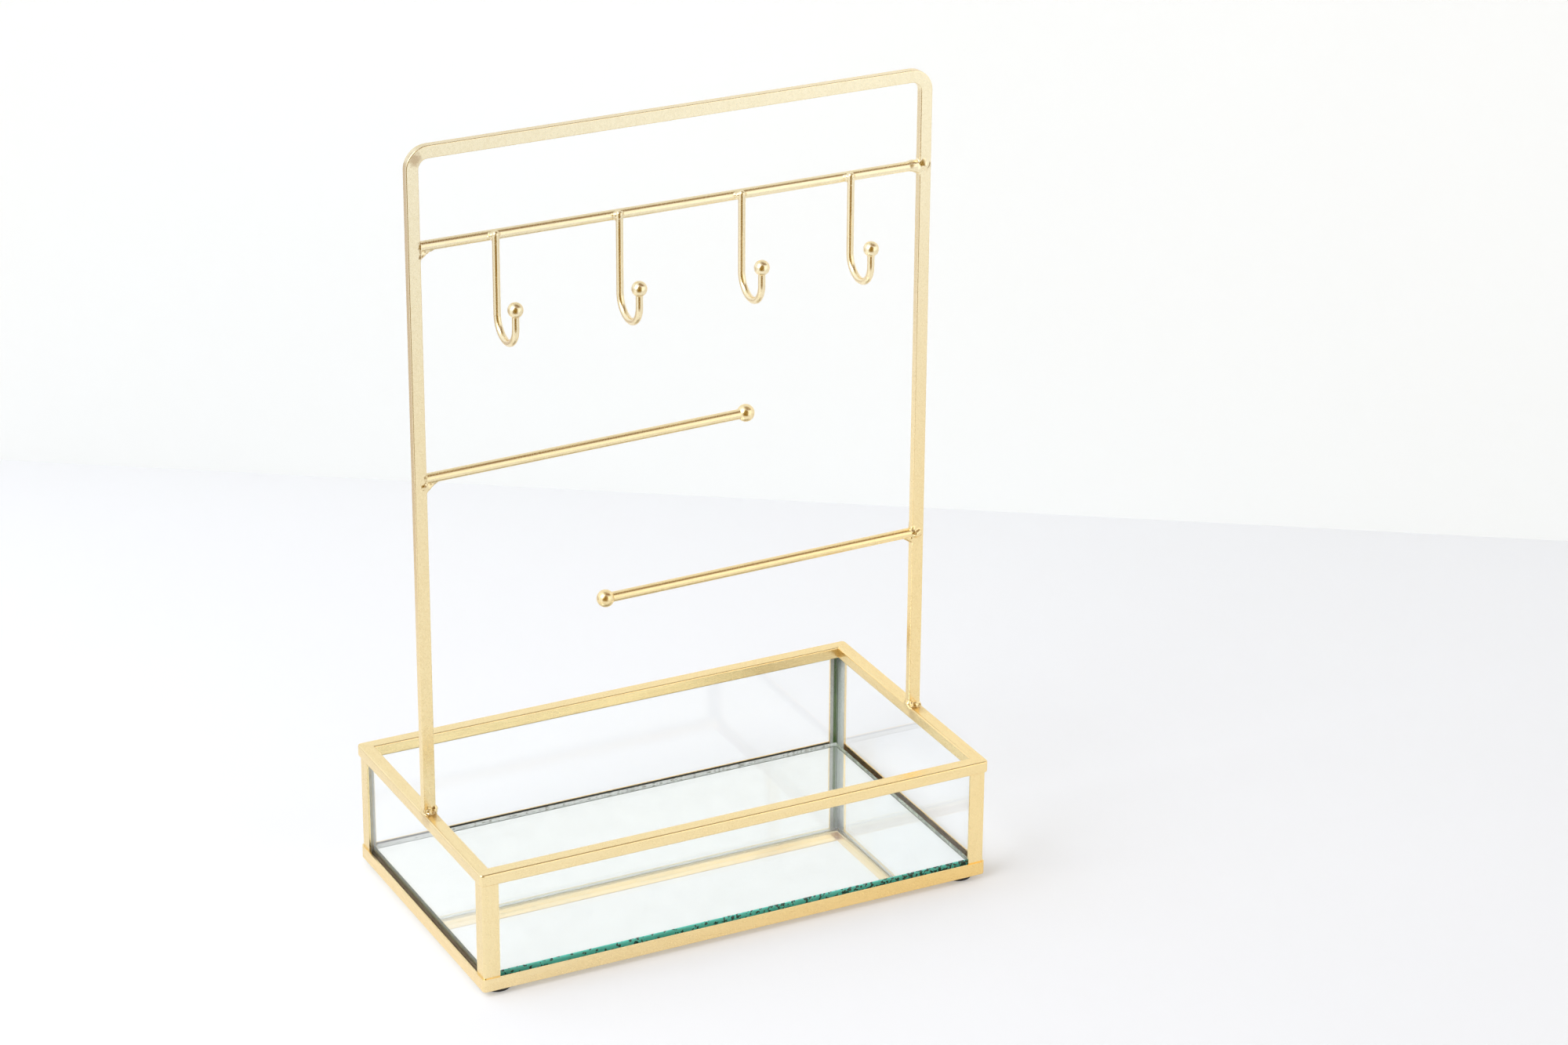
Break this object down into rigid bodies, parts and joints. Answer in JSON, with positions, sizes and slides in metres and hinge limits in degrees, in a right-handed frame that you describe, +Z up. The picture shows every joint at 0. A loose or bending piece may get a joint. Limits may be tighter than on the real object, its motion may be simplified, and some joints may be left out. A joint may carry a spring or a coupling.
{
  "type": "jewelry stand",
  "caption": "Gold metal jewelry stand: a welded hoop with a hook rail and ball-ended side arms over a framed glass tray with a mirror floor.",
  "frame": {"origin": "on the table, under the middle of the tray's footprint", "axes": "+Z up; +X along the tray's long side and the hoop, to the right seen from the front; the hooks point to the front, -Y"},
  "size_m": [0.2508, 0.1424, 0.371],
  "materials": {
    "gold_metal": "satin pale gold paint on steel",
    "weld_metal": "lumpy brazed bead, painted over in the same gold",
    "clear_glass": "clear polished float glass with green cut edges",
    "mirror_glass": "polished plate, silvered on its underside",
    "board": "dull fibre board",
    "black_rubber": "matt moulded rubber"
  },
  "bodies": {
    "root": {"hoop_frame": "gold_metal", "hook_rail": "gold_metal", "hook_1": "gold_metal", "hook_2": "gold_metal", "hook_3": "gold_metal", "hook_4": "gold_metal", "hook_ball_1": "gold_metal", "hook_ball_2": "gold_metal", "hook_ball_3": "gold_metal", "hook_ball_4": "gold_metal", "upper_arm_rod": "gold_metal", "upper_arm_ball": "gold_metal", "lower_arm_rod": "gold_metal", "lower_arm_ball": "gold_metal", "top_rail_front": "gold_metal", "top_rail_back": "gold_metal", "top_rail_left": "gold_metal", "top_rail_right": "gold_metal", "bottom_rail_front": "gold_metal", "bottom_rail_back": "gold_metal", "bottom_rail_left": "gold_metal", "bottom_rail_right": "gold_metal", "corner_post_front_left": "gold_metal", "corner_post_front_right": "gold_metal", "corner_post_back_left": "gold_metal", "corner_post_back_right": "gold_metal", "hoop_foot_welds": "weld_metal", "rail_welds": "weld_metal", "arm_welds": "weld_metal", "hook_welds": "weld_metal", "glass_front": "clear_glass", "glass_back": "clear_glass", "glass_left": "clear_glass", "glass_right": "clear_glass", "mirror_plate": "mirror_glass", "base_board": "board", "rubber_foot_front_left": "black_rubber", "rubber_foot_front_right": "black_rubber", "rubber_foot_back_left": "black_rubber", "rubber_foot_back_right": "black_rubber"}
  },
  "joints": []
}
